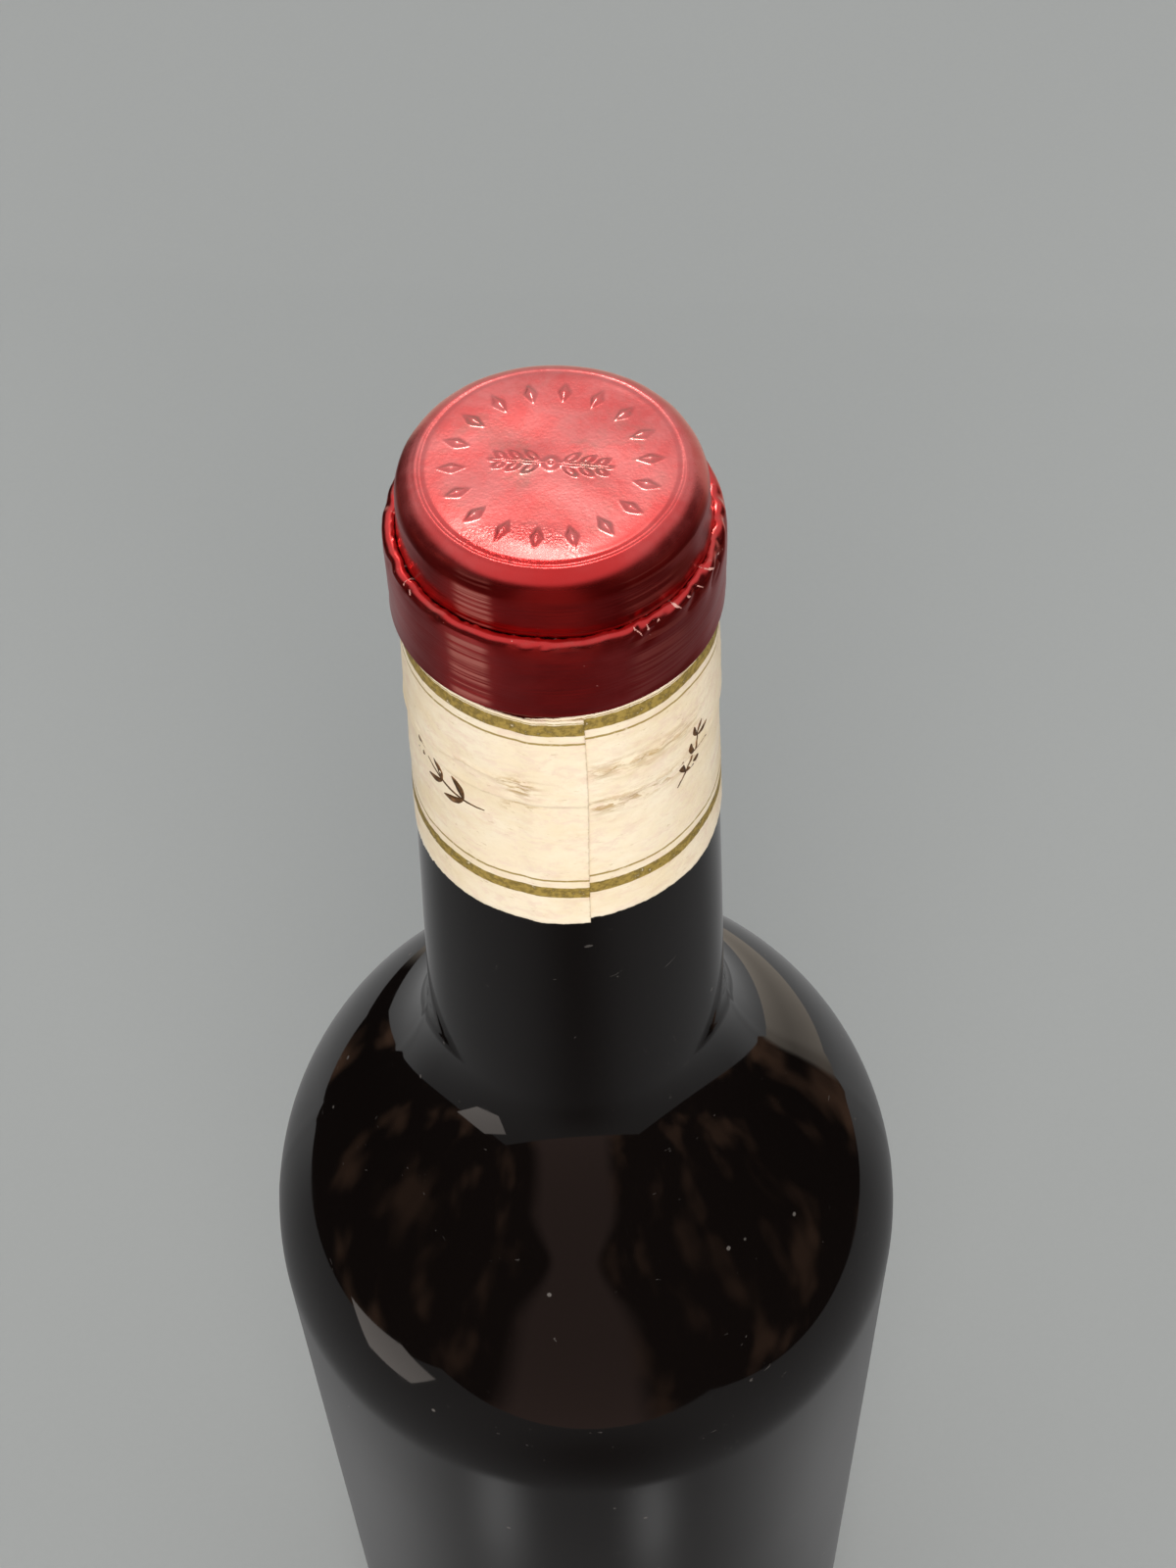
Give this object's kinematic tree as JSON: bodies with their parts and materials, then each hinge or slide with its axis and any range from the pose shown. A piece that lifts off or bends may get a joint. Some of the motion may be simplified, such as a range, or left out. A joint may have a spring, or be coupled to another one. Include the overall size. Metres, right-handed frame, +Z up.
{
  "type": "wine bottle",
  "caption": "Sealed dark glass wine bottle with rounded shoulders, a red foil capsule over the mouth and a plain paper band with gold lines round the neck.",
  "frame": {"origin": "centre of the flat resting ring at the bottle's base, on the bottle's axis", "axes": "+Z up along the bottle's axis to the capsule; -Y towards the side with the paper band's lapped edge"},
  "size_m": [0.0786, 0.0786, 0.296],
  "materials": {
    "dark_glass": "gloss",
    "red_foil": "satin",
    "cream_paper": "matte"
  },
  "bodies": {
    "root": {"bottle": "dark_glass", "capsule": "red_foil", "neck_band": "cream_paper"}
  },
  "joints": []
}
